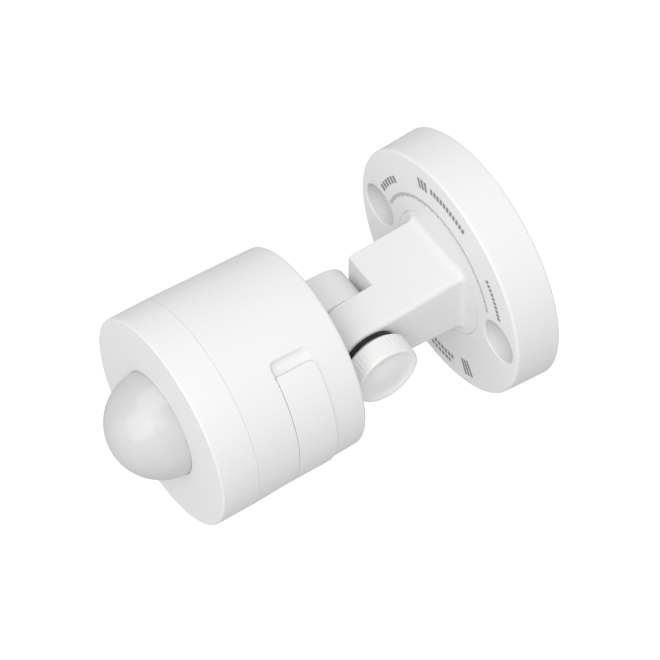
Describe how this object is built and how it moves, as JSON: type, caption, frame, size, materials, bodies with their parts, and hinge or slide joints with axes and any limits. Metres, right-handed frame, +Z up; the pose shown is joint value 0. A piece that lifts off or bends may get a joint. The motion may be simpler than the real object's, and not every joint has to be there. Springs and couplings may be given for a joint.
{
  "type": "motion sensor",
  "caption": "Wall-mounted motion sensor: a round base holds a swivel arm, and a tilting cylindrical head with a domed lens looks out from it.",
  "frame": {"origin": "centre of the wall base's back face, on the wall plane", "axes": "+Y into the wall, the head points along -Y, +Z up, +X towards the thumb knob and the service door"},
  "size_m": [0.0616, 0.0967, 0.0616],
  "materials": {
    "white_plastic": "satin white moulded plastic",
    "lens_plastic": "milky translucent polyethylene, smooth",
    "knob_plastic": "warm white, slightly translucent plastic",
    "black_rubber": "matte black rubber",
    "cable_jacket": "matte dark jacket",
    "zinc_steel": "zinc plated",
    "washer_steel": "polished",
    "brass": "machined",
    "circuit_board": "solder mask",
    "dark_plastic": "moulded black",
    "terminal_plastic": "moulded green",
    "red_lens": "clear red",
    "sensor_ceramic": "ceramic with a lacquered face"
  },
  "bodies": {
    "base": {"base_shell": "white_plastic", "base_back_plate": "white_plastic", "cable_grommet": "black_rubber", "plate_screw_1": "zinc_steel", "plate_screw_2": "zinc_steel"},
    "arm": {"swivel_arm": "white_plastic", "swivel_friction_washer": "black_rubber", "swivel_retainer": "white_plastic", "retainer_screw_1": "zinc_steel", "retainer_screw_2": "zinc_steel", "arm_lead": "cable_jacket"},
    "knob_washers": {"knob_flat_washer": "washer_steel", "knob_spring_washer": "washer_steel"},
    "knob": {"thumb_knob": "knob_plastic", "knob_insert": "brass"},
    "head": {"head_housing": "white_plastic", "hinge_bolt": "zinc_steel", "front_bezel": "white_plastic", "lens_dome": "lens_plastic", "lens_retainer": "white_plastic", "lens_screw_1": "zinc_steel", "lens_screw_2": "zinc_steel", "lens_screw_3": "zinc_steel", "main_pcb": "circuit_board", "pcb_screw_1": "zinc_steel", "pcb_screw_2": "zinc_steel", "pir_can": "zinc_steel", "pir_window": "dark_plastic", "status_led": "red_lens", "light_sensor": "sensor_ceramic", "relay": "dark_plastic", "supply_capacitor": "dark_plastic", "terminal_block": "terminal_plastic", "control_chip": "dark_plastic", "adjuster_board": "circuit_board", "adjuster_fascia": "white_plastic", "time_trimmer": "dark_plastic", "light_level_trimmer": "dark_plastic", "range_trimmer": "dark_plastic", "head_lead": "cable_jacket"},
    "door": {"service_door": "white_plastic"},
    "time_dial_body": {"time_dial": "knob_plastic"},
    "light_level_dial_body": {"light_level_dial": "knob_plastic"},
    "range_dial_body": {"range_dial": "knob_plastic"}
  },
  "joints": [
    {"name": "swivel", "type": "hinge", "parent": "base", "child": "arm", "pos_m": [0, -0.01105, 0], "axis": [0, 1, 0], "range_deg": [-170, 170]},
    {"name": "tilt", "type": "hinge", "parent": "arm", "child": "head", "pos_m": [0, -0.0364, 0], "axis": [1, 0, 0], "range_deg": [-90, 90]},
    {"name": "knob_slide", "type": "slide", "parent": "arm", "child": "knob_washers", "axis": [1, 0, 0], "range_m": [0, 0.0016]},
    {"name": "knob_spin", "type": "hinge", "parent": "knob_washers", "child": "knob", "pos_m": [0.0124, -0.0364, 0], "axis": [1, 0, 0], "range_deg": [0, 720]},
    {"name": "door_hinge", "type": "hinge", "parent": "head", "child": "door", "pos_m": [0.01494, -0.0595, -0.01878], "axis": [0, 1, 0], "range_deg": [0, 75]},
    {"name": "time_dial_turn", "type": "hinge", "parent": "head", "child": "time_dial_body", "pos_m": [0.0154, -0.0595, 0.0085], "axis": [1, 0, 0], "range_deg": [-135, 135]},
    {"name": "light_level_dial_turn", "type": "hinge", "parent": "head", "child": "light_level_dial_body", "pos_m": [0.0154, -0.0595, 0], "axis": [1, 0, 0], "range_deg": [-135, 135]},
    {"name": "range_dial_turn", "type": "hinge", "parent": "head", "child": "range_dial_body", "pos_m": [0.0154, -0.0595, -0.0085], "axis": [1, 0, 0], "range_deg": [-135, 135]}
  ],
  "couplings": [
    {"joint": "knob_spin", "follows": "knob_slide", "rad_per_m": 7854}
  ]
}
